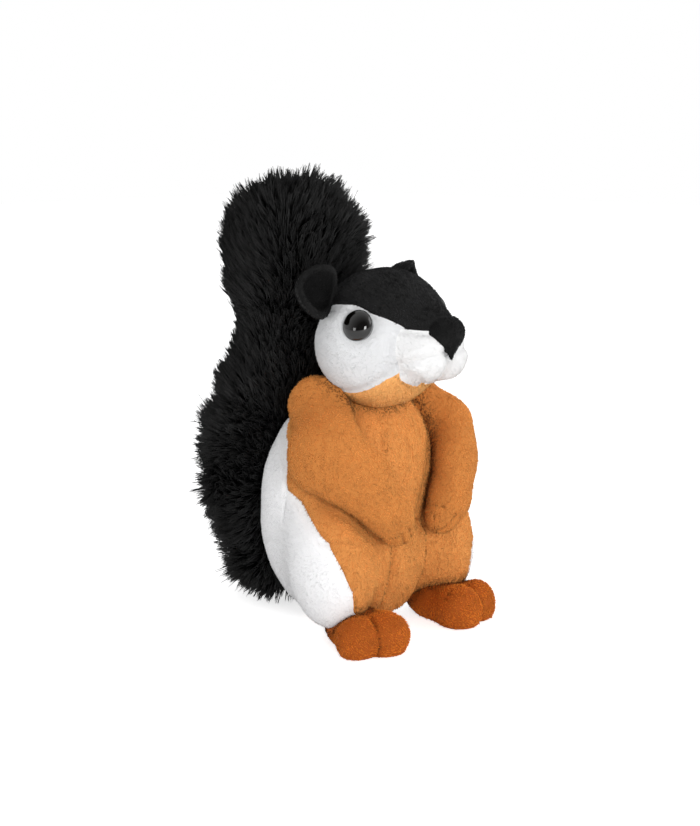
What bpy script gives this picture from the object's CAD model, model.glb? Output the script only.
"""Looks of a plush squirrel: sewn covers with short pile, and a tail of long pile in loose locks.

Places are measured from the floor and from a line under the neck, and moved by MIDDLE_Y at the end.
The squirrel looks along -Y, and its left is +X.
"""

import math

import bmesh
import bpy
import numpy as np
from mathutils import Matrix, Vector


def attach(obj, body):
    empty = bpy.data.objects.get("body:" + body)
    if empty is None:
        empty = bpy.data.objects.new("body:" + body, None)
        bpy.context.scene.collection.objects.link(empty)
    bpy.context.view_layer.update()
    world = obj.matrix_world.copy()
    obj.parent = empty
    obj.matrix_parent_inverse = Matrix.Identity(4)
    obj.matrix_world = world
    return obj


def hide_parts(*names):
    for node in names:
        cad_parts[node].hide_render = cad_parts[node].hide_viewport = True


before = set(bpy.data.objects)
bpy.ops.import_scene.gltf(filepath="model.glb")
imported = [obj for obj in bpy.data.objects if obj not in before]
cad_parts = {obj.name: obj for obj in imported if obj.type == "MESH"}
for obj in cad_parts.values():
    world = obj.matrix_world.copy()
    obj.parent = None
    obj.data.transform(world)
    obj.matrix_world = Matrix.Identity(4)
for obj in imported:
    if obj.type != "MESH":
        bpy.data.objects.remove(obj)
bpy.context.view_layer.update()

MIDDLE_Y = 0.02274
SKIN_DEPTH = 0.0008
SEAM_DEPTH = 0.0013
SEAM_WIDTH = 0.0022
CREASE_REACH = 0.0021
CREASE_DEPTH = 0.0022
CREASE_WIDTH = 0.0016
CREASE_LIFT = 0.0006
CREASE_FRONT = 0.006
ARM_CREASE_REACH = 0.0042
FLOOR_MARGIN = 0.0008
RAY_START = 0.08
SOFT_LUMP = 0.00030
SMALL_LUMP = 0.00008

# Pile: strands to a square metre, and their length
RUST_PILE = (2.8e6, 0.0011)
BLACK_PILE = (2.6e6, 0.0011)
BACK_PILE = (2.0e6, 0.0011)
SHORN_PILE = (2.8e6, 0.0006)
FLANK_PILE = (2.6e6, 0.0006)
NOSE_PILE = (3.0e6, 0.0008)
EAR_PILE = (2.6e6, 0.0008)
PILE_WIDTH = 0.00026
PILE_ROOT_DEPTH = 0.0002
PILE_FLOOR = 0.0006
PILE_LEANS = (0.8, 1.2)
PILE_LENGTHS = (0.7, 1.15)
PILE_WIDTHS = (0.7, 1.2)
PILE_SWIRL = 0.006
PILE_PATCH = 0.009
PILE_SPECK = 0.0025
PARTING_WIDTH = 0.0006
PARTING_SHADE = 3.0
CREASE_SHADE = 4.5
SHADE_LIMITS = (-4.8, 1.5)
LEAST_SHADE = 0.15
STRAND_TAPER = 0.75

# Body
BODY_HALF = (0.039, 0.0345, 0.052)
BODY_CENTRE = (0, 0.0115, 0.048)
CHEST_HALF = (0.036, 0.023, 0.034)
CHEST_CENTRE = (0, 0.002, 0.068)
BELLY_HALF = (0.023, 0.0225, 0.026)
BELLY_CENTRE = (0, 0.0015, 0.027)
HAUNCH_HALF = (0.0165, 0.020, 0.027)
HAUNCH_PLACE = (0.0305, -0.0085, 0.032)
HAUNCH_LEAN = math.radians(-14)
BODY_BLEND = 0.009
BELLY_SEAM_HALF_WIDTH = 0.011
BELLY_SEAM_MIDDLE = 0.003
BELLY_SEAM_TOP = 0.045
BELLY_SEAM = (0.0012, 0.0012)
CHEST_FOLDS = ((-0.011, 0.10, 0.080), (0.003, -0.06, 0.076), (0.013, -0.12, 0.081))
FOLD_DEPTH = 0.0013
FOLD_WIDTH = 0.0016
FOLD_HALF_LENGTH = 0.009
BACK_SEAM_ANGLE = math.radians(150)
BASE_SEAM_HEIGHT = 0.003
SEAM_AXIS_Y = 0.004
NECK_LAP = 0.003
FLANK_SEAM = ((47.5, 0.004), (49, 0.021), (50.5, 0.025), (55, 0.0345), (62, 0.0437), (73, 0.051),
              (85, 0.0575), (92, 0.059), (98, 0.0605), (101, 0.070), (109, 0.078), (126, 0.083),
              (150, 0.090))

# Head
HEAD_FRAME = (Matrix.Translation((-0.0012, -0.0097, 0.1205)) @ Matrix.Rotation(math.radians(9), 4, "Z")
              @ Matrix.Rotation(math.radians(-3), 4, "Y"))
HEAD_HALF = (0.0333, 0.0252, 0.0284)
BRIDGE_HALF = (0.0095, 0.0145, 0.0095)
BRIDGE_CENTRE = (0, -0.0188, 0.0058)
BRIDGE_BLEND = 0.010
CHEEK_REACH = ((-180, 0.022), (-150, 0.0200), (-133, 0.0190), (-119, 0.0188), (-104, 0.0185),
               (-87, 0.0180), (-72, 0.0179), (-54, 0.0182), (-39, 0.0190), (-28, 0.0208), (-14, 0.0204),
               (0, 0.0200), (14, 0.0205), (20, 0.0218), (32, 0.0200), (42, 0.0186), (52, 0.0173),
               (64, 0.0171), (78, 0.0173), (93, 0.0168), (120, 0.0178), (137, 0.0186), (160, 0.0205))
NAPE_DROP = 0.0128
NAPE_SLOPE = 0.3
SNOUT_SEAM_START = (-0.0206, 0.0073)
SNOUT_SEAM_SLOPE = 0.14
SNOUT_SEAM_LAP = 0.004
MUZZLE_HALF = (0.0118, 0.0120, 0.0124)
MUZZLE_CENTRE = (0.0078, -0.0219, -0.0050)
MUZZLE_TILT = 0.0010
MUZZLE_LEAN = math.radians(12)
MUZZLE_BLEND = 0.004
MUZZLE_EDGE = 0.0186
MUZZLE_DROP = 0.0175
MUZZLE_CURVE = 0.008
MUZZLE_HALF_WIDTH = 0.021
MUZZLE_SLANT = 0.08
MUZZLE_MIDDLE_BLEND = 0.0012
MUZZLE_CLEFT = 0.0016
MUZZLE_CLEFT_WIDTH = 0.0014
CHEEK_SEAM = (0.0011, 0.0016)
MUZZLE_SEAM = (0.0009, 0.0012)
NOSE_HALF = (0.0104, 0.0080, 0.0074)
NOSE_CENTRE = (0, -0.0284, 0.0040)
NOSE_TIP = (-0.0030, -0.0338, -0.0048)
NOSE_TIP_RADIUS = 0.0012
NOSE_TIP_START = (0, -0.0320, 0.00141)
NOSE_TIP_START_RADIUS = 0.0037
NOSE_BLEND = 0.003
NOSE_SKIN_DEPTH = 0.0004
EYE_RADIUS = 0.0062
EYE_DOME = 0.0038
EYE_SIDE = math.radians(75)
EYE_RAISE = math.radians(19)
EYE_TURN = math.radians(22)
EYE_LIFT = {1: -0.0028, -1: -0.0012}
EYE_DIMPLE = 0.0016
EYE_DIMPLE_RADIUS = 0.0080
EYE_SKIRT = 0.0025
EAR_RADIUS = 0.0100
EAR_DEPTH = 0.0085
EAR_CLOTH = 0.0022
EAR_GATHER = 0.3
EAR_CURL = 0.7
EAR_SLANT = 0.3
EAR_TALLER = 1.05
EAR_SIDE = math.radians(108)
EAR_RAISE = math.radians(34)
EAR_LIFT = {1: 0.0010, -1: 0.0078}
EAR_LOOK_SIDE = {1: math.radians(2), -1: math.radians(22)}
EAR_LOOK_RAISE = {1: math.radians(-6), -1: math.radians(12)}

# Limbs
ARM_SPINE = ((0.0274, 0.0006, 0.0940), (0.0364, -0.013, 0.0775), (0.0283, -0.0228, 0.0685),
             (0.0186, -0.0286, 0.0545), (0.0136, -0.0286, 0.0470))
ARM_HALF_WIDTHS = (0.0136, 0.0143, 0.0116, 0.0088, 0.0076)
ARM_THICKNESS = (0.56, 0.60, 0.74, 0.90, 1.0)
ARM_TURNS = (62, 58, 42, 25, 15)
LIMB_BLEND = 0.006
FOOT_HALF_WIDTH = 0.0125
FOOT_HALF_LENGTH = 0.0192
FOOT_HEIGHT = 0.016
FOOT_MIDDLE = 0.42 * FOOT_HEIGHT
SOLE_HALF_HEIGHT = 0.58 * FOOT_HEIGHT
TOE_HALF_HEIGHT = 0.6 * FOOT_HEIGHT
FOOT_BLEND = 0.006
FOOT_MIDDLE_FORWARD = 0.0038
FOOT_APART = 0.052
FOOT_FORWARD = 0.020
FOOT_SPLAY = {1: math.radians(1), -1: math.radians(18)}
TOE_RADII = (0.0080, 0.0098)
TOE_PLACES = (0.0078, -0.0054)
TOE_CLEFT = 0.0015
TOE_FORWARD = (0.0118, 0.0127)
TOE_BLEND = 0.0012
TOE_CLEFT_START = 0.0110
TOE_CLEFT_SHAPE = (0.0018, 0.0007)
STITCH_APART = 0.0042
STITCH_LENGTH = 0.0025
STITCH_SHAPE = (0.0011, 0.0006)

# Tail
TAIL_SPINE = ((0.052, 0.024), (0.057, 0.052), (0.055, 0.072), (0.049, 0.092), (0.0445, 0.110),
              (0.043, 0.124), (0.0435, 0.140), (0.0437, 0.1525))
TAIL_RADII = (0.023, 0.028, 0.0285, 0.025, 0.0225, 0.0215, 0.0262, 0.0285)
TAIL_CORE_DEPTH = 0.005
TAIL_PILE_DENSITY = 1.75e6
TAIL_PILE_LENGTH = 0.0090
TAIL_PILE_WIDTH = 0.00032
TAIL_PILE_WIDTHS = (0.7, 1.3)
TAIL_LENGTH_SPREAD = 0.0014
TAIL_LENGTH_WAVE = 0.0018
TAIL_LENGTH_PATCH = 0.007
TAIL_TOP_LONGER = 0.0015
TAIL_SWIRL = 0.018
TAIL_SWIRL_LEAN = 0.30
TAIL_RAGGED = 0.12
TAIL_LEAN = ((0.0, -0.3), (0.03, -0.1), (0.07, 0.3), (0.11, 0.9), (0.15, 0.8), (0.19, 0.5))
TAIL_LOCKS = 3800
TAIL_LOCK_REACH = 0.004
TAIL_LOCK_PULL = (0.2, 0.7)
TAIL_GROUPS = (0.055, 0.105, 0.150)

# Studio
FLOOR_GLOW = 0.7
SKY = 0.62
DARK_SIDE = (-0.71, -0.70, 0.05)
DARK_SIDE_LEVEL = 0.12
LAMPS = (("key", (-0.46, -0.86, 0.24), 0.30, 4.3),
         ("side", (-0.95, 0.06, 0.20), 0.20, 0.7),
         ("fill", (0.60, -0.60, 0.60), 0.6, 2.2))
LAMP_TARGET = (0, 0, 0.09)
CAMERA_LENS = 68
CAMERA_TURN = math.radians(-46)
CAMERA_RAISE = math.radians(10.5)
CAMERA_TARGET = (0, 0.010, 0.087)
CAMERA_DISTANCE = 0.647


# Fields: functions of points that are negative inside a shape and grow with the distance from it
def ellipsoid(centre, half):
    centre, half = np.array(centre), np.array(half)

    def field(points):
        scaled = (points - centre) / half
        near = np.linalg.norm(scaled, axis=1)
        slope = np.linalg.norm(scaled / half, axis=1)
        return near * (near - 1) / np.maximum(slope, 1e-9)

    return field


def tapered(start, end, radii, thickness=(1, 1), faces=((0, -1, 0), (0, -1, 0))):
    """A span of a limb that is flattened along the direction it faces. Pairs run from end to end."""
    start, along = np.array(start), np.array(end) - np.array(start)
    first, last = np.array(faces)

    def field(points):
        share = np.clip((points - start) @ along / (along @ along), 0, 1)
        away = points - start - share[:, None] * along
        face = first + share[:, None] * (last - first)
        face /= np.linalg.norm(face, axis=1)[:, None]
        thin = thickness[0] + (thickness[1] - thickness[0]) * share
        away += (np.sum(away * face, axis=1) * (1 / thin - 1))[:, None] * face
        return (np.linalg.norm(away, axis=1) - radii[0] - (radii[1] - radii[0]) * share) * thin

    return field


def merged(blend, *fields):
    def field(points):
        total = fields[0](points)
        for other in fields[1:]:
            value = other(points)
            share = np.clip(0.5 + 0.5 * (value - total) / blend, 0, 1)
            total = value * (1 - share) + total * share - blend * share * (1 - share)
        return total

    return field


def standing(field, rounding=0.0015):
    flat = merged(rounding, lambda points: -field(points), lambda points: points[:, 2])
    return lambda points: -flat(points)


def moved_by(matrix, points):
    turn = np.array(matrix)
    return points @ turn[:3, :3].T + turn[:3, 3]


def placed(field, matrix):
    back = matrix.inverted()
    return lambda points: field(moved_by(back, points))


def outward(seam):
    return lambda points: -seam(points)


def drawn_in(field, origins, directions):
    """The outermost points of the field's surface along each ray, reached from outside."""
    distance = np.full(len(origins), RAY_START)
    for step in range(80):
        value = field(origins + directions * distance[:, None])
        distance = distance - (value if step > 55 else np.maximum(value, 0)) * 0.7
    return origins + directions * np.maximum(distance, 1e-5)[:, None]


def slopes(field, points, step=1e-4):
    moves = step * np.eye(3)
    return np.stack([field(points + move) - field(points - move) for move in moves], axis=1) / (2 * step)


def unit(vectors):
    return vectors / np.maximum(np.linalg.norm(vectors, axis=1), 1e-12)[:, None]


def surface_point(field, origin, direction):
    return Vector(drawn_in(field, np.array([origin], float), np.array([direction], float))[0])


def smooth_line(points, shares):
    points = np.array(points, float)
    ends = np.vstack([2 * points[0] - points[1], points, 2 * points[-1] - points[-2]])
    place = np.clip(shares, 0, 1) * (len(points) - 1)
    first = np.minimum(place.astype(int), len(points) - 2)
    t = (place - first)[:, None]
    a, b, c, d = (ends[first + i] for i in range(4))
    return 0.5 * (2 * b + (c - a) * t + (2 * a - 5 * b + 4 * c - d) * t**2
                  + (3 * b - a - 3 * c + d) * t**3)


def wrap(field, spine, rings, segments, cap=0.5):
    """A UV sphere whose rings look out from along the spine, drawn in onto the field."""
    mesh = bmesh.new()
    bmesh.ops.create_uvsphere(mesh, u_segments=segments, v_segments=rings, radius=1)
    ball = np.array([vert.co for vert in mesh.verts])
    polar = np.arccos(np.clip(-ball[:, 2], -1, 1)) / math.pi
    share = np.clip((polar - cap) / max(1 - 2 * cap, 1e-6), 0, 1)
    tilt = np.where(polar < cap, polar / cap, np.where(polar > 1 - cap, 2 - (1 - polar) / cap, 1))
    tilt = tilt * math.pi / 2
    ahead = smooth_line(spine, np.minimum(share + 0.02, 1))
    behind = smooth_line(spine, np.maximum(share - 0.02, 0))
    along = unit(ahead - behind)
    across = unit(np.cross(along, np.array((1.0, 0.0, 0.0))))
    round_ = np.arctan2(ball[:, 1], ball[:, 0])
    radial = np.cos(round_)[:, None] * np.cross(across, along) + np.sin(round_)[:, None] * across
    directions = np.sin(tilt)[:, None] * radial - np.cos(tilt)[:, None] * along
    points = drawn_in(field, smooth_line(spine, share), directions)
    for vert, point in zip(mesh.verts, points):
        vert.co = point
    if mesh.calc_volume(signed=True) < 0:
        bmesh.ops.reverse_faces(mesh, faces=mesh.faces)
    return mesh


def at(centre, direction=(0, 0, 1)):
    shift = np.array(direction) * 1e-5
    return (np.array(centre) - shift, np.array(centre) + shift)


def trim(mesh, seam):
    """Cuts the mesh along a seam and keeps the side where the seam's function is positive."""
    points = np.array([vert.co for vert in mesh.verts])
    distance = seam(points) / np.maximum(np.linalg.norm(slopes(seam, points), axis=1), 1e-6)
    value = dict(zip(mesh.verts, distance))
    for edge in list(mesh.edges):
        first, last = edge.verts
        if value[first] * value[last] >= 0:
            continue
        share = value[first] / (value[first] - value[last])
        near = first if share < 0.02 else last if share > 0.98 else None
        place = first.co.lerp(last.co, share)
        if near is None:
            near = bmesh.utils.edge_split(edge, first, share)[1]
        near.co = place
        value[near] = 0
    bmesh.ops.connect_verts(mesh, verts=[vert for vert in mesh.verts if value[vert] == 0])
    outside = [face for face in mesh.faces if min(value[v] for v in face.verts) < -1e-9
               or max(value[v] for v in face.verts) <= 0]
    bmesh.ops.delete(mesh, geom=outside, context="FACES")


def panel_of(whole, cuts):
    """A copy of the whole cover, cut along a panel's seams."""
    mesh = whole.copy()
    for cut in cuts:
        trim(mesh, cut)
    for vert in [vert for vert in mesh.verts if not vert.link_faces]:
        mesh.verts.remove(vert)
    return mesh


# Noise made of a few random waves, about -1 to 1
def wander(size, seed, waves=14):
    chance = np.random.default_rng(seed)
    pace = chance.normal(size=(waves, 3)) * 2.2 / size
    phase = chance.uniform(0, 2 * math.pi, waves)
    return lambda points: np.sin(points @ pace.T + phase).sum(axis=1) / math.sqrt(waves / 2) / 1.6


def moved_out(mesh, field, push):
    """Moves the mesh's vertices along the field's slope by what push gives at each."""
    points = np.array([vert.co for vert in mesh.verts])
    points += unit(slopes(field, points)) * push(points)[:, None]
    for vert, point in zip(mesh.verts, points):
        vert.co = point


def valley(seam, points, depth=SEAM_DEPTH, width=SEAM_WIDTH):
    distance = seam(points) / np.maximum(np.linalg.norm(slopes(seam, points), axis=1), 1e-6)
    return -depth * np.exp(-(distance / width) ** 2)


soft_lumps = wander(0.016, 3)
small_lumps = wander(0.006, 4)


def lumps(points, amount=1.0):
    return amount * (SOFT_LUMP * soft_lumps(points) + SMALL_LUMP * small_lumps(points))


# Materials
def pile_group():
    """Colour of pile from its root to its tip, with a shade of its own for each lock."""
    group = bpy.data.node_groups.new("Pile colour", "ShaderNodeTree")
    for name, kind in (("Root", "NodeSocketColor"), ("Tip", "NodeSocketColor"),
                       ("Variation", "NodeSocketFloat")):
        group.interface.new_socket(name, in_out="INPUT", socket_type=kind)
    group.interface.new_socket("Color", in_out="OUTPUT", socket_type="NodeSocketColor")
    nodes, links = group.nodes, group.links
    given, out = nodes.new("NodeGroupInput"), nodes.new("NodeGroupOutput")
    tip = nodes.new("ShaderNodeAttribute")
    tip.attribute_name = "tip"
    shade = nodes.new("ShaderNodeAttribute")
    shade.attribute_name = "shade"
    mix = nodes.new("ShaderNodeMix")
    mix.data_type = "RGBA"
    links.new(tip.outputs["Fac"], mix.inputs["Factor"])
    links.new(given.outputs["Root"], mix.inputs["A"])
    links.new(given.outputs["Tip"], mix.inputs["B"])
    gain = nodes.new("ShaderNodeMath")
    gain.operation = "MULTIPLY_ADD"
    links.new(shade.outputs["Fac"], gain.inputs[0])
    links.new(given.outputs["Variation"], gain.inputs[1])
    gain.inputs[2].default_value = 1
    least = nodes.new("ShaderNodeMath")
    least.operation = "MAXIMUM"
    least.inputs[1].default_value = LEAST_SHADE
    links.new(gain.outputs[0], least.inputs[0])
    scale = nodes.new("ShaderNodeVectorMath")
    scale.operation = "SCALE"
    links.new(mix.outputs["Result"], scale.inputs[0])
    links.new(least.outputs[0], scale.inputs["Scale"])
    links.new(scale.outputs[0], out.inputs["Color"])
    return group


PILE_COLOUR = pile_group()


def plush(name, root, tip, variation=0.25, sheen=0.25, roughness=0.85):
    material = bpy.data.materials.new(name)
    material.use_nodes = True
    nodes, links = material.node_tree.nodes, material.node_tree.links
    shader = nodes["Principled BSDF"]
    colour = nodes.new("ShaderNodeGroup")
    colour.node_tree = PILE_COLOUR
    colour.inputs["Root"].default_value = (*root, 1)
    colour.inputs["Tip"].default_value = (*tip, 1)
    colour.inputs["Variation"].default_value = variation
    links.new(colour.outputs["Color"], shader.inputs["Base Color"])
    shader.inputs["Roughness"].default_value = roughness
    shader.inputs["Specular IOR Level"].default_value = 0.25
    shader.inputs["Sheen Weight"].default_value = sheen
    shader.inputs["Sheen Roughness"].default_value = 0.5
    shader.inputs["Sheen Tint"].default_value = (*tip, 1)
    material.diffuse_color = (*tip, 1)
    return material


def plain(name, colour, roughness):
    material = bpy.data.materials.new(name)
    material.use_nodes = True
    shader = material.node_tree.nodes["Principled BSDF"]
    shader.inputs["Base Color"].default_value = (*colour, 1)
    shader.inputs["Roughness"].default_value = roughness
    material.diffuse_color = (*colour, 1)
    return material


RUST = plush("Rust pile", (0.56, 0.205, 0.045), (0.84, 0.360, 0.092), 0.17)
BELLY = plush("Light rust pile", (0.66, 0.260, 0.065), (0.94, 0.430, 0.118), 0.17)
THROAT = plush("Tan pile", (0.82, 0.40, 0.13), (1.0, 0.58, 0.20), 0.12)
FOOT = plush("Dark rust pile", (0.36, 0.078, 0.006), (0.84, 0.250, 0.030), 0.26, 0.5)
WHITE = plush("White pile", (0.90, 0.90, 0.91), (0.95, 0.95, 0.96), 0.01, 0.05)
MUZZLE = plush("Bright white pile", (0.80, 0.80, 0.80), (0.84, 0.84, 0.84), 0.01, 0.05)
GREY = plush("Pale grey pile", (0.70, 0.705, 0.715), (0.76, 0.765, 0.775), 0.01, 0.05)
BLACK = plush("Black pile", (0.006, 0.006, 0.006), (0.020, 0.020, 0.021), 0.9, 0.10)
EAR = plush("Black ear pile", (0.003, 0.003, 0.003), (0.007, 0.007, 0.007), 0.7, 0.02)
NOSE = plush("Black nose pile", (0.001, 0.001, 0.001), (0.004, 0.004, 0.004), 0.3, 0.0)
TAIL = plush("Black long pile", (0.002, 0.002, 0.002), (0.0105, 0.0105, 0.0105), 0.75, 0.0, 0.6)
EYE = plain("Eye plastic", (0.002, 0.0015, 0.0012), 0.05)


# Pieces
def arrays(mesh):
    """Corners and corner normals of the mesh's triangles."""
    mesh.verts.ensure_lookup_table()
    mesh.normal_update()
    points = np.array([vert.co for vert in mesh.verts])
    normals = np.array([vert.normal for vert in mesh.verts])
    mesh.verts.index_update()
    corners = np.array([[loop.vert.index for loop in loops] for loops in mesh.calc_loop_triangles()])
    return points[corners], normals[corners]


def to_object(name, mesh, material, replaces=(), matrix=None):
    if matrix is not None:
        bmesh.ops.transform(mesh, matrix=matrix, verts=mesh.verts)
    bmesh.ops.translate(mesh, vec=(0, -MIDDLE_Y, 0), verts=mesh.verts)
    data = bpy.data.meshes.new(name)
    mesh.to_mesh(data)
    mesh.free()
    return settle(name, data, material, replaces)


def settle(name, data, material, replaces=()):
    data.shade_smooth()
    data.materials.append(material)
    made = bpy.data.objects.new(name, data)
    bpy.context.scene.collection.objects.link(made)
    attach(made, "root")
    if replaces:
        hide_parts(*replaces)
    return made


def sprinkled(triangles, normals, density, chance):
    """Random places on the triangles, so many to a square metre, with the normals there."""
    a, b, c = (triangles[:, i] for i in range(3))
    area = np.linalg.norm(np.cross(b - a, c - a), axis=1) / 2
    count = int(area.sum() * density)
    if count == 0:
        return np.zeros((0, 3)), np.zeros((0, 3))
    chosen = chance.choice(len(area), size=count, p=area / area.sum())
    u, v = chance.uniform(size=(2, count))
    u, v = np.where(u + v > 1, 1 - u, u), np.where(u + v > 1, 1 - v, v)
    share = np.stack([1 - u - v, u, v], axis=1)[:, :, None]
    return (triangles[chosen] * share).sum(axis=1), unit((normals[chosen] * share).sum(axis=1))


def strand(pieces):
    """A three-sided strand along Z: a root ring of radius 1 at 0, its end at 1. One piece has a point."""
    mesh = bmesh.new()
    bmesh.ops.create_circle(mesh, cap_ends=True, segments=3, radius=1)
    face = mesh.faces[:][0]
    for step in range(pieces):
        made = bmesh.ops.extrude_face_region(mesh, geom=[face])["geom"]
        if step > 0:
            bmesh.ops.delete(mesh, geom=[face], context="FACES_ONLY")
        ring = [part for part in made if isinstance(part, bmesh.types.BMVert)]
        face = next(part for part in made if isinstance(part, bmesh.types.BMFace))
        share = (step + 1) / pieces
        for vert in ring:
            flat = vert.co.xy.normalized() * (1 - STRAND_TAPER * share**2)
            vert.co = (flat.x, flat.y, share)
    if pieces == 1:
        bmesh.ops.pointmerge(mesh, verts=ring, merge_co=(0, 0, 1))
    bmesh.ops.recalc_face_normals(mesh, faces=mesh.faces)
    mesh.verts.index_update()
    verts = np.array([vert.co for vert in mesh.verts])
    faces = [[vert.index for vert in f.verts] for f in mesh.faces]
    mesh.free()
    return verts, faces


NEEDLE = strand(1)
STRAND = strand(2)


def grown(name, form, roots, starts, ends, width, shade, material):
    """One mesh of strands that leave their roots along starts and come to their ends."""
    verts, faces = form
    count = len(roots)
    chord = unit(ends - roots)
    aside = unit(np.cross(chord, np.roll(chord, 1, axis=1) + 0.31))
    third = np.cross(chord, aside)
    share = verts[:, 2][None, :, None]
    line = roots[:, None] + starts[:, None] * share + (ends - roots - starts)[:, None] * share**2
    points = (line + (aside[:, None] * verts[:, 0][None, :, None]
                      + third[:, None] * verts[:, 1][None, :, None]) * width[:, None, None])
    points = points.reshape(-1, 3)
    points[:, 1] -= MIDDLE_Y
    shift = np.arange(count) * len(verts)
    listed = []
    for size in sorted({len(face) for face in faces}):
        same = np.array([face for face in faces if len(face) == size])
        listed += (same[None] + shift[:, None, None]).reshape(-1, size).tolist()
    data = bpy.data.meshes.new(name)
    data.from_pydata(points, [], listed)
    tip = data.attributes.new("tip", "FLOAT", "POINT")
    tip.data.foreach_set("value", np.tile(verts[:, 2], count).astype(np.float32))
    tone = data.attributes.new("shade", "FLOAT", "POINT")
    tone.data.foreach_set("value", np.repeat(shade, len(verts)).astype(np.float32))
    return settle(name, data, material)


def short_pile(name, surface, nap, material, pile, seed, keep, matrix=None, seams=(), against=(),
               reach=CREASE_REACH):
    """Short pile that lies over along its nap, and is darker in seams and against other forms."""
    density, length = pile
    chance = np.random.default_rng(seed)
    roots, normals = sprinkled(*surface, density, chance)
    parting = sum((valley(seam, roots, -1, PARTING_WIDTH) for seam in seams), np.zeros(len(roots)))
    if matrix is not None:
        roots = moved_by(matrix, roots)
        normals = normals @ np.array(matrix)[:3, :3].T
    kept = keep(roots)
    roots, normals, parting = roots[kept], normals[kept], parting[kept]
    laid = nap(roots)
    laid = unit(laid - normals * np.sum(laid * normals, axis=1)[:, None])
    swirl = np.stack([wander(PILE_SWIRL, seed + i)(roots) for i in range(1, 4)], axis=1)
    laid = unit(laid + 0.2 * swirl + 0.3 * chance.normal(size=roots.shape))
    laid -= normals * np.sum(laid * normals, axis=1)[:, None]
    lean = chance.uniform(*PILE_LEANS, len(roots))[:, None]
    size = length * chance.uniform(*PILE_LENGTHS, len(roots))[:, None]
    ends = roots + unit(normals * np.cos(lean) + unit(laid) * np.sin(lean)) * size
    roots = roots - normals * PILE_ROOT_DEPTH
    starts = ends - roots
    shade = 0.5 * wander(PILE_SPECK, seed + 9)(roots) + 0.4 * wander(PILE_PATCH, seed + 10)(roots)
    shade -= PARTING_SHADE * parting
    shade += 0.4 * chance.normal(size=len(roots))
    for form in against:
        shade -= CREASE_SHADE * np.exp(-(np.maximum(form(roots), 0) / reach) ** 2)
    girth = PILE_WIDTH * chance.uniform(*PILE_WIDTHS, len(roots))
    return grown(name, NEEDLE, roots, starts, ends, girth, np.clip(shade, *SHADE_LIMITS), material)


# Body
def haunch_field(side):
    x, y, z = HAUNCH_PLACE
    frame_ = Matrix.Translation((side * x, y, z)) @ Matrix.Rotation(HAUNCH_LEAN, 4, "X")
    return placed(ellipsoid((0, 0, 0), HAUNCH_HALF), frame_)


def trunk_field():
    return merged(BODY_BLEND, ellipsoid(BODY_CENTRE, BODY_HALF), ellipsoid(CHEST_CENTRE, CHEST_HALF),
                  ellipsoid(BELLY_CENTRE, BELLY_HALF))


def body_field():
    return standing(merged(BODY_BLEND, trunk_field(), haunch_field(1), haunch_field(-1)))


def angle_from_front(points):
    return np.arctan2(np.abs(points[:, 0]), SEAM_AXIS_Y - points[:, 1])


def flank_seam(points):
    angles, heights = zip(*FLANK_SEAM)
    line = np.interp(np.degrees(angle_from_front(points)), angles, heights)
    return np.minimum(line - points[:, 2], 0.03 * (angle_from_front(points) - math.radians(angles[0])))


def back_seam(points):
    return BODY_HALF[1] * (angle_from_front(points) - BACK_SEAM_ANGLE)


def base_seam(points):
    return BASE_SEAM_HEIGHT - points[:, 2]


def side_seam(side):
    return lambda points: side * points[:, 0]


def gusset_seam(points):
    """The belly's two seams, which run down between the haunches."""
    aside = np.abs(points[:, 0] - BELLY_SEAM_MIDDLE)
    return np.where(points[:, 2] < BELLY_SEAM_TOP, aside - BELLY_SEAM_HALF_WIDTH, 0.02)


# Head
def head_field():
    return merged(BRIDGE_BLEND, ellipsoid((0, 0, 0), HEAD_HALF), ellipsoid(BRIDGE_CENTRE, BRIDGE_HALF))


def cheek_seam(points):
    angle = np.degrees(np.arctan2(points[:, 2], -points[:, 1]))
    angles, reaches = (list(values) for values in zip(*CHEEK_REACH))
    return np.interp(angle, angles, reaches, period=360) - np.linalg.norm(points[:, 1:], axis=1)


def nape_seam(points):
    return points[:, 2] + NAPE_DROP + NAPE_SLOPE * points[:, 1]


def snout_seam(points):
    start_y, start_z = SNOUT_SEAM_START
    under = start_z + SNOUT_SEAM_SLOPE * (points[:, 1] - start_y) - points[:, 2]
    return np.minimum(under, start_y + SNOUT_SEAM_LAP - points[:, 1])


def muzzle_field():
    x, y, z = MUZZLE_CENTRE
    leans = [Matrix.Translation((side * x, y, z - side * MUZZLE_TILT)) @ Matrix.Rotation(MUZZLE_LEAN, 4, "X")
             for side in (1, -1)]
    halves = [placed(ellipsoid((0, 0, 0), MUZZLE_HALF), lean) for lean in leans]
    return merged(MUZZLE_MIDDLE_BLEND, *halves)


def face_field():
    return merged(MUZZLE_BLEND, head_field(), muzzle_field())


def muzzle_seam(points):
    """Positive in front of the cheeks and under the bridge, down to where the puffs meet the throat."""
    lower = points[:, 2] + MUZZLE_DROP + MUZZLE_SLANT * points[:, 0]
    lower -= MUZZLE_CURVE * np.minimum(np.abs(points[:, 0]) / MUZZLE_HALF_WIDTH, 1.2) ** 3
    return np.minimum(np.minimum(-MUZZLE_EDGE - points[:, 1], snout_seam(points)), lower)


def facing(turn, raise_):
    return Vector((math.sin(turn) * math.cos(raise_), -math.cos(turn) * math.cos(raise_), math.sin(raise_)))


def stand_on(field, direction, lift=0.0):
    point = surface_point(field, (0, 0, 0), direction)
    normal = Vector(slopes(field, np.array([point]))[0]).normalized()
    return Matrix.Translation(point + normal * lift) @ normal.to_track_quat("Z", "Y").to_matrix().to_4x4()


# Limbs
def pairs(values):
    return list(zip(values, values[1:]))


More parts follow.
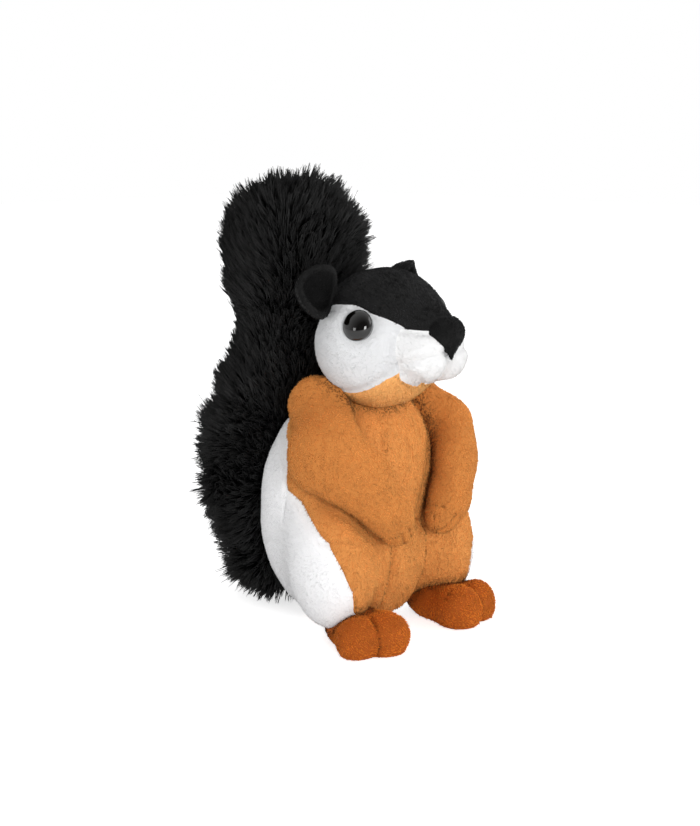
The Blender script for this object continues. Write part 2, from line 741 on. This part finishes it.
def arm_field(side):
    points = [Vector((side * out, back, up)) for out, back, up in ARM_SPINE]
    faces = [(side * math.sin(turn), -math.cos(turn), 0) for turn in np.radians(ARM_TURNS)]
    spans = zip(points, points[1:], pairs(ARM_HALF_WIDTHS), pairs(ARM_THICKNESS), pairs(faces))
    return merged(LIMB_BLEND, *(tapered(*span) for span in spans))


def foot_frame(side):
    place = Matrix.Translation((side * FOOT_APART / 2, -FOOT_FORWARD, 0))
    return place @ Matrix.Rotation(side * FOOT_SPLAY[side], 4, "Z")


def foot_field(side):
    sole = ellipsoid((0, 0, FOOT_MIDDLE), (FOOT_HALF_WIDTH, FOOT_HALF_LENGTH, SOLE_HALF_HEIGHT))
    toes = [ellipsoid((side * out, -forward, FOOT_MIDDLE), (radius, radius, TOE_HALF_HEIGHT))
            for out, forward, radius in zip(TOE_PLACES, TOE_FORWARD, TOE_RADII)]
    whole = merged(FOOT_BLEND, merged(TOE_BLEND, *toes), sole)
    return standing(placed(whole, foot_frame(side)))


def tail_field():
    spine = [Vector((0, back, up)) for back, up in TAIL_SPINE]
    spans = zip(spine, spine[1:], pairs(TAIL_RADII))
    return standing(merged(LIMB_BLEND, *(tapered(*span) for span in spans)))


BODY = body_field()
HEAD = face_field()
HEAD_PLACED = placed(HEAD, HEAD_FRAME)
ARMS = {1: arm_field(1), -1: arm_field(-1)}
FEET = {1: foot_field(1), -1: foot_field(-1)}
TAIL_FORM = tail_field()


def clear_of(*fields, depth=0.0012):
    """Keeps roots that aren't buried in the given forms, nor at the floor."""
    def keep(points):
        free = points[:, 2] > PILE_FLOOR
        for field in fields:
            free &= field(points) > -depth
        return free

    return keep


def down(points):
    return np.tile([0.0, 0.0, -1.0], (len(points), 1))


def chest_folds(points):
    """Soft upright folds in the chest's cloth, under the neck."""
    depth = np.zeros(len(points))
    for place, slope, height in CHEST_FOLDS:
        aside = points[:, 0] - place - slope * (points[:, 2] - 0.08)
        fade = np.exp(-((points[:, 2] - height) / FOLD_HALF_LENGTH) ** 2)
        depth -= FOLD_DEPTH * np.exp(-(aside / FOLD_WIDTH) ** 2) * fade
    return np.where(points[:, 1] < 0, depth, 0)


def build_body():
    seams = (flank_seam, back_seam, base_seam)

    def push(points):
        moved = -SKIN_DEPTH + lumps(points)
        for seam in seams:
            moved += valley(seam, points)
        moved += valley(gusset_seam, points, *BELLY_SEAM) + chest_folds(points)
        front = np.clip(-CREASE_FRONT - points[:, 1], 0, CREASE_FRONT) / CREASE_FRONT
        for arm in ARMS.values():
            moved -= CREASE_DEPTH * front * np.exp(-((arm(points) - CREASE_LIFT) / CREASE_WIDTH) ** 2)
        return np.where(points[:, 2] < FLOOR_MARGIN, 0, moved)

    whole = wrap(BODY, at(BODY_CENTRE), 110, 160)
    moved_out(whole, BODY, push)
    for vert in whole.verts:
        vert.co.z = max(vert.co.z, 0)
    above = [lambda points: HEAD_PLACED(points) + NECK_LAP, outward(base_seam)]
    in_front = above + [outward(back_seam)]
    others = clear_of(HEAD_PLACED, ARMS[1], ARMS[-1], FEET[1], FEET[-1])
    panels = [("base", [base_seam], RUST, "rust_plush", ["base_panel"], None),
              ("back", above + [back_seam], BLACK, "black_plush", ["back_panel"], BACK_PILE),
              ("belly", in_front + [outward(flank_seam)], BELLY, "rust_plush",
               ["belly_panel", "thigh_panel_left", "thigh_panel_right", "body_stuffing"], RUST_PILE),
              ("flank_left", in_front + [flank_seam, side_seam(1)], WHITE, "white_plush",
               ["flank_panel_left"], FLANK_PILE),
              ("flank_right", in_front + [flank_seam, side_seam(-1)], WHITE, "white_plush",
               ["flank_panel_right"], FLANK_PILE)]
    for seed, (name, cuts, material, slot, nodes, pile) in enumerate(panels):
        mesh = panel_of(whole, cuts)
        if pile:
            short_pile(name + "_pile", arrays(mesh), down, material, pile,
                       seed=20 * seed + 5, keep=others,
                       seams=[gusset_seam, flank_seam] if name == "belly" else (),
                       against=(HEAD_PLACED, *ARMS.values(), *FEET.values()))
        to_object(name + "_cover", mesh, material, nodes)
    whole.free()


def build_head():
    eyes = [stand_on(HEAD, facing(side * EYE_SIDE, EYE_RAISE)).translation for side in (1, -1)]

    def push(points):
        front = muzzle_seam(points)
        moved = -SKIN_DEPTH + lumps(points, 0.6) + valley(cheek_seam, points, *CHEEK_SEAM)
        moved += np.where(cheek_seam(points) < 0, valley(nape_seam, points), 0)
        moved += valley(muzzle_seam, points, *MUZZLE_SEAM)
        for eye in eyes:
            away = np.linalg.norm(points - np.array(eye), axis=1)
            moved -= EYE_DIMPLE * np.exp(-(away / EYE_DIMPLE_RADIUS) ** 4)
        cleft = MUZZLE_CLEFT * np.exp(-(points[:, 0] / MUZZLE_CLEFT_WIDTH) ** 2)
        return moved - cleft * np.clip((front + 0.001) / 0.002, 0, 1)

    whole = wrap(HEAD, at((0, -0.002, 0), (0, -1, 0)), 130, 180)
    moved_out(whole, HEAD, push)
    above = [nape_seam, outward(cheek_seam), outward(muzzle_seam)]

    def keep(points):
        local = moved_by(HEAD_FRAME.inverted(), points)
        away = np.min([np.linalg.norm(local - np.array(eye), axis=1) for eye in eyes], axis=0)
        return clear_of(BODY, ARMS[1], ARMS[-1])(points) & (away > EYE_RADIUS * 0.9)

    def backwards(points):
        return points - np.array(HEAD_FRAME @ Vector((0, -0.045, 0.004)))

    panels = [("crown", above + [outward(snout_seam)], BLACK, "black_plush",
               ["crown_panel", "head_stuffing"], BLACK_PILE),
              ("throat", [outward(nape_seam), outward(cheek_seam), outward(muzzle_seam)], THROAT,
               "rust_plush", ["throat_panel"], RUST_PILE),
              ("cheek_left", [cheek_seam, outward(muzzle_seam), side_seam(1)], GREY, "pale_grey_plush",
               ["cheek_panel_left"], SHORN_PILE),
              ("cheek_right", [cheek_seam, outward(muzzle_seam), side_seam(-1)], GREY, "pale_grey_plush",
               ["cheek_panel_right"], SHORN_PILE),
              ("muzzle", [muzzle_seam], MUZZLE, "white_plush",
               ["snout_panel", "muzzle_left", "muzzle_right"], SHORN_PILE)]
    for seed, (name, cuts, material, slot, nodes, pile) in enumerate(panels):
        mesh = panel_of(whole, cuts)
        short_pile(name + "_pile", arrays(mesh), backwards, material, pile,
                   seed=20 * seed + 205, keep=keep, matrix=HEAD_FRAME,
                   seams=[muzzle_seam] if name == "throat" else (),
                   against=[BODY, *ARMS.values()] if name == "throat" else ())
        to_object(name + "_cover", mesh, material, nodes, HEAD_FRAME)
    whole.free()
    for name, side in (("left", 1), ("right", -1)):
        build_ear(name, side)
        build_eye(name, side)
    build_nose()


def build_nose():
    """A round stuffed nose that narrows to a point at its lower end."""
    point = tapered(NOSE_TIP_START, NOSE_TIP, (NOSE_TIP_START_RADIUS, NOSE_TIP_RADIUS))
    nose = merged(NOSE_BLEND, ellipsoid(NOSE_CENTRE, NOSE_HALF), point)
    mesh = wrap(nose, at(NOSE_CENTRE, (0, -1, 0)), 44, 56)
    moved_out(mesh, nose, lambda points: lumps(points, 0.5) - NOSE_SKIN_DEPTH)
    short_pile("nose_pile", arrays(mesh), down, NOSE, NOSE_PILE, 440,
               clear_of(HEAD_PLACED, depth=0.0008), HEAD_FRAME)
    to_object("nose_puff", mesh, NOSE, ["nose"], HEAD_FRAME)


def build_ear(name, side):
    """A cup of doubled cloth, widest at its upper edge and gathered where it is sewn to the head."""
    direction = facing(side * EAR_SIDE, EAR_RAISE)
    point = surface_point(HEAD, (0, 0, 0), direction) + direction * EAR_LIFT[side]
    look = facing(side * EAR_LOOK_SIDE[side], EAR_LOOK_RAISE[side])
    look = look.to_track_quat("Z", "Y").to_matrix().to_4x4()
    base = (look.to_3x3().inverted() @ -direction).xy.normalized()
    mesh = bmesh.new()
    bmesh.ops.create_uvsphere(mesh, u_segments=64, v_segments=36, radius=1)
    bmesh.ops.delete(mesh, geom=[vert for vert in mesh.verts if vert.co.z > 0.05], context="VERTS")
    for vert in mesh.verts:
        towards = vert.co.xy.dot(base)
        across = vert.co.x * -base.y + vert.co.y * base.x
        across *= 1 - EAR_GATHER * max(towards, 0) ** 2
        place = base * towards + Vector((-base.y, base.x)) * across
        fold = EAR_CURL * across**2 - EAR_SLANT * towards
        vert.co = (place.x * EAR_RADIUS, place.y * EAR_RADIUS * EAR_TALLER,
                   (vert.co.z + fold) * EAR_DEPTH)
    bmesh.ops.solidify(mesh, geom=mesh.faces[:], thickness=EAR_CLOTH)
    bmesh.ops.recalc_face_normals(mesh, faces=mesh.faces)
    matrix = HEAD_FRAME @ Matrix.Translation(point) @ look
    middle = np.array(matrix.translation)
    short_pile("ear_pile_" + name, arrays(mesh), lambda points: points - middle, EAR,
               EAR_PILE, 460 + side, clear_of(HEAD_PLACED), matrix)
    to_object("ear_cup_" + name, mesh, EAR, ["ear_" + name], matrix)


def build_eye(name, side):
    turned = Matrix.Rotation(side * EYE_TURN, 4, "Z")
    stand = stand_on(HEAD, facing(side * EYE_SIDE, EYE_RAISE), EYE_LIFT[side])
    shift = Matrix.Translation(stand.translation)
    stand = HEAD_FRAME @ shift @ turned @ shift.inverted() @ stand
    mesh = bmesh.new()
    profile = [(EYE_RADIUS * math.sin(angle), EYE_DOME * math.cos(angle))
               for angle in np.radians(np.linspace(0, 90, 14))]
    profile += [(EYE_RADIUS * 0.98, -0.0006), (EYE_RADIUS * 0.9, -EYE_SKIRT), (0, -EYE_SKIRT)]
    verts = [mesh.verts.new((radius, 0, height)) for radius, height in profile]
    edges = [mesh.edges.new(pair) for pair in zip(verts, verts[1:])]
    bmesh.ops.spin(mesh, geom=verts + edges, cent=(0, 0, 0), axis=(0, 0, 1), angle=2 * math.pi,
                   steps=48, use_merge=True)
    bmesh.ops.remove_doubles(mesh, verts=mesh.verts, dist=1e-6)
    bmesh.ops.recalc_face_normals(mesh, faces=mesh.faces)
    to_object("eye_dome_" + name, mesh, EYE, ["eye_" + name], stand)


def finger_stitches(side):
    """Two short stitches that part the paw's tip into fingers: planes that stop short of the wrist."""
    tip, wrist = (Vector((side * out, back, up)) for out, back, up in (ARM_SPINE[-1], ARM_SPINE[-2]))
    along = np.array((wrist - tip).normalized())
    front = np.array((side * 0.25, -1, 0))
    across = np.cross(along, front)
    across /= np.linalg.norm(across)
    tip = np.array(tip)

    def stitch(offset):
        def field(points):
            local = points - tip
            near = (local @ along < STITCH_LENGTH) & (local @ front > 0)
            return np.where(near, local @ across - offset, 0.01)

        return field

    return [stitch(-STITCH_APART / 2), stitch(STITCH_APART / 2)]


def toe_cleft(side):
    back = foot_frame(side).inverted()

    def field(points):
        local = moved_by(back, points)
        return np.where(local[:, 1] < -TOE_CLEFT_START, local[:, 0] - side * TOE_CLEFT, 0.01)

    return field


def build_limbs():
    for name, side in (("left", 1), ("right", -1)):
        build_arm(name, side)
        build_foot(name, side)


def build_arm(name, side):
    spine = [Vector((side * out, back, up)) for out, back, up in ARM_SPINE]
    arm = ARMS[side]
    mesh = wrap(arm, spine[::2], 90, 80, cap=0.22)
    stitches = finger_stitches(side)
    moved_out(mesh, arm, lambda points: -SKIN_DEPTH + lumps(points)
              + sum(valley(stitch, points, *STITCH_SHAPE) for stitch in stitches))
    tip = np.array(spine[-1] - spine[0])
    short_pile("arm_pile_" + name, arrays(mesh), lambda points: np.tile(tip, (len(points), 1)), RUST,
               RUST_PILE, 500 + side, clear_of(BODY, HEAD_PLACED), seams=stitches,
               against=(BODY, HEAD_PLACED), reach=ARM_CREASE_REACH)
    to_object("arm_cover_" + name, mesh, RUST, ["arm_" + name])


def build_foot(name, side):
    middle = foot_frame(side) @ Vector((0, -FOOT_MIDDLE_FORWARD, FOOT_MIDDLE))
    foot = FEET[side]
    mesh = wrap(foot, at(middle), 56, 72)
    cleft = toe_cleft(side)
    moved_out(mesh, foot, lambda points: np.where(
        points[:, 2] < FLOOR_MARGIN, 0,
        -SKIN_DEPTH + lumps(points) + valley(cleft, points, *TOE_CLEFT_SHAPE)))
    for vert in mesh.verts:
        vert.co.z = max(vert.co.z, 0)
    ahead = np.array([0.0, -1.0, -0.3])
    short_pile("foot_pile_" + name, arrays(mesh), lambda points: np.tile(ahead, (len(points), 1)), FOOT,
               RUST_PILE, 520 + side, clear_of(BODY), seams=[cleft], against=(BODY,))
    to_object("foot_cover_" + name, mesh, FOOT, ["foot_" + name])


# Tail
def build_tail():
    """Long pile in locks. It leans towards the tail's tip in the upper half and stands straight out below."""
    spine = [Vector((0, back, up)) for back, up in TAIL_SPINE]
    mesh = wrap(lambda points: TAIL_FORM(points) + TAIL_CORE_DEPTH, spine, 60, 48, cap=0.22)
    surface = arrays(mesh)
    to_object("tail_core", mesh, TAIL, ["tail"])
    chance = np.random.default_rng(11)
    roots, normals = sprinkled(*surface, TAIL_PILE_DENSITY, chance)
    free = (BODY(roots) > -0.0005) & (HEAD_PLACED(roots) > -0.0005) & (roots[:, 2] > 0.001)
    roots, normals = roots[free], normals[free]
    lean = np.interp(roots[:, 2], *zip(*TAIL_LEAN))
    lean *= np.clip(1.25 - np.abs(normals[:, 2]), 0, 1)
    swirl = np.stack([wander(TAIL_SWIRL, 60 + i)(roots) for i in range(3)], axis=1)
    aim = unit(normals + lean[:, None] * np.array([0, 0, 1.0])
               + TAIL_RAGGED * chance.normal(size=roots.shape) + TAIL_SWIRL_LEAN * swirl)
    length = TAIL_PILE_LENGTH + TAIL_LENGTH_WAVE * wander(TAIL_LENGTH_PATCH, 70)(roots)
    length += TAIL_LENGTH_SPREAD * chance.normal(size=len(roots))
    length += TAIL_TOP_LONGER * np.clip((roots[:, 2] - 0.13) / 0.03, 0, 1)
    ends = roots + aim * length[:, None]
    locks = chance.choice(len(roots), size=TAIL_LOCKS, replace=False)
    centres = np.array(ends[locks])
    nearest = np.concatenate([np.argmin(((part[:, None] - centres[None]) ** 2).sum(axis=2), axis=1)
                              for part in np.array_split(ends, 120)])
    pull = chance.uniform(*TAIL_LOCK_PULL, len(roots))[:, None]
    pull *= np.linalg.norm(centres[nearest] - ends, axis=1)[:, None] < TAIL_LOCK_REACH
    ends = ends + (centres[nearest] - ends) * pull
    inside = np.minimum(BODY(ends), HEAD_PLACED(ends)) < 0
    keep = ~inside & (ends[:, 2] > 0.0005)
    roots, ends, normals, length, nearest = (part[keep] for part in (roots, ends, normals, length, nearest))
    starts = normals * (length * 0.75)[:, None]
    tone = chance.normal(size=len(centres))[nearest] * 0.5 + 0.4 * chance.normal(size=len(roots))
    width = TAIL_PILE_WIDTH * chance.uniform(*TAIL_PILE_WIDTHS, len(roots))
    group = np.digitize(roots[:, 2], TAIL_GROUPS)
    for number, name in enumerate(("low", "middle", "high", "top")):
        own = group == number
        grown("tail_pile_" + name, STRAND, roots[own], starts[own], ends[own], width[own],
              np.clip(tone[own], -1.2, 1.6), TAIL)


def any_ray(nodes, links, *rays):
    """1 for rays of the given kinds and 0 for the others."""
    path = nodes.new("ShaderNodeLightPath")
    seen = path.outputs[rays[0]]
    for ray in rays[1:]:
        either = nodes.new("ShaderNodeMath")
        either.operation = "MAXIMUM"
        links.new(seen, either.inputs[0])
        links.new(path.outputs[ray], either.inputs[1])
        seen = either.outputs[0]
    return seen


def build_studio():
    bpy.ops.mesh.primitive_plane_add(size=6, location=(0, 0, 0))
    floor = bpy.context.object
    floor.name = "floor"
    material = bpy.data.materials.new("Floor")
    material.use_nodes = True
    nodes, links = material.node_tree.nodes, material.node_tree.links
    shader = nodes["Principled BSDF"]
    shader.inputs["Base Color"].default_value = (0.9, 0.9, 0.9, 1)
    shader.inputs["Roughness"].default_value = 1
    shader.inputs["Specular IOR Level"].default_value = 0
    glow = nodes.new("ShaderNodeEmission")
    links.new(any_ray(nodes, links, "Is Camera Ray", "Is Glossy Ray", "Is Transmission Ray"),
              glow.inputs["Strength"])
    add = nodes.new("ShaderNodeAddShader")
    links.new(shader.outputs[0], add.inputs[0])
    links.new(glow.outputs[0], add.inputs[1])
    glow.inputs["Color"].default_value = (FLOOR_GLOW, FLOOR_GLOW, FLOOR_GLOW, 1)
    links.new(add.outputs[0], nodes["Material Output"].inputs["Surface"])
    floor.data.materials.append(material)
    world = bpy.data.worlds.new("Studio")
    bpy.context.scene.world = world
    world.use_nodes = True
    nodes, links = world.node_tree.nodes, world.node_tree.links
    direction = nodes.new("ShaderNodeTexCoord")
    toward = nodes.new("ShaderNodeVectorMath")
    toward.operation = "DOT_PRODUCT"
    toward.inputs[1].default_value = DARK_SIDE
    links.new(direction.outputs["Generated"], toward.inputs[0])
    dim = nodes.new("ShaderNodeMapRange")
    dim.inputs["From Min"].default_value = 0.1
    dim.inputs["From Max"].default_value = 0.8
    dim.inputs["To Min"].default_value = 1.0
    dim.inputs["To Max"].default_value = DARK_SIDE_LEVEL
    links.new(toward.outputs["Value"], dim.inputs["Value"])
    level = nodes.new("ShaderNodeMix")
    level.inputs["A"].default_value = SKY
    links.new(dim.outputs[0], level.inputs["B"])
    links.new(any_ray(nodes, links, "Is Glossy Ray", "Is Transmission Ray"), level.inputs["Factor"])
    strength = nodes.new("ShaderNodeMath")
    strength.operation = "MAXIMUM"
    links.new(any_ray(nodes, links, "Is Camera Ray"), strength.inputs[0])
    links.new(level.outputs["Result"], strength.inputs[1])
    links.new(strength.outputs[0], nodes["Background"].inputs["Strength"])
    nodes["Background"].inputs["Color"].default_value = (1, 1, 1, 1)
    for values in LAMPS:
        lamp(*values)


def lamp(name, place, size, power):
    data = bpy.data.lights.new(name, "AREA")
    data.size = size
    data.energy = power
    made = bpy.data.objects.new(name, data)
    bpy.context.scene.collection.objects.link(made)
    made.location = place
    made.rotation_mode = "QUATERNION"
    made.rotation_quaternion = (Vector(LAMP_TARGET) - Vector(place)).to_track_quat("-Z", "Y")


def build_camera():
    data = bpy.data.cameras.new("camera")
    data.lens = CAMERA_LENS
    made = bpy.data.objects.new("camera", data)
    bpy.context.scene.collection.objects.link(made)
    back = facing(CAMERA_TURN, CAMERA_RAISE)
    made.location = Vector(CAMERA_TARGET) - Vector((0, MIDDLE_Y, 0)) + back * CAMERA_DISTANCE
    made.rotation_mode = "QUATERNION"
    made.rotation_quaternion = (-back).to_track_quat("-Z", "Y")
    bpy.context.scene.camera = made


bpy.context.scene.view_settings.view_transform = "Standard"
build_body()
build_head()
build_limbs()
build_tail()
build_studio()
build_camera()
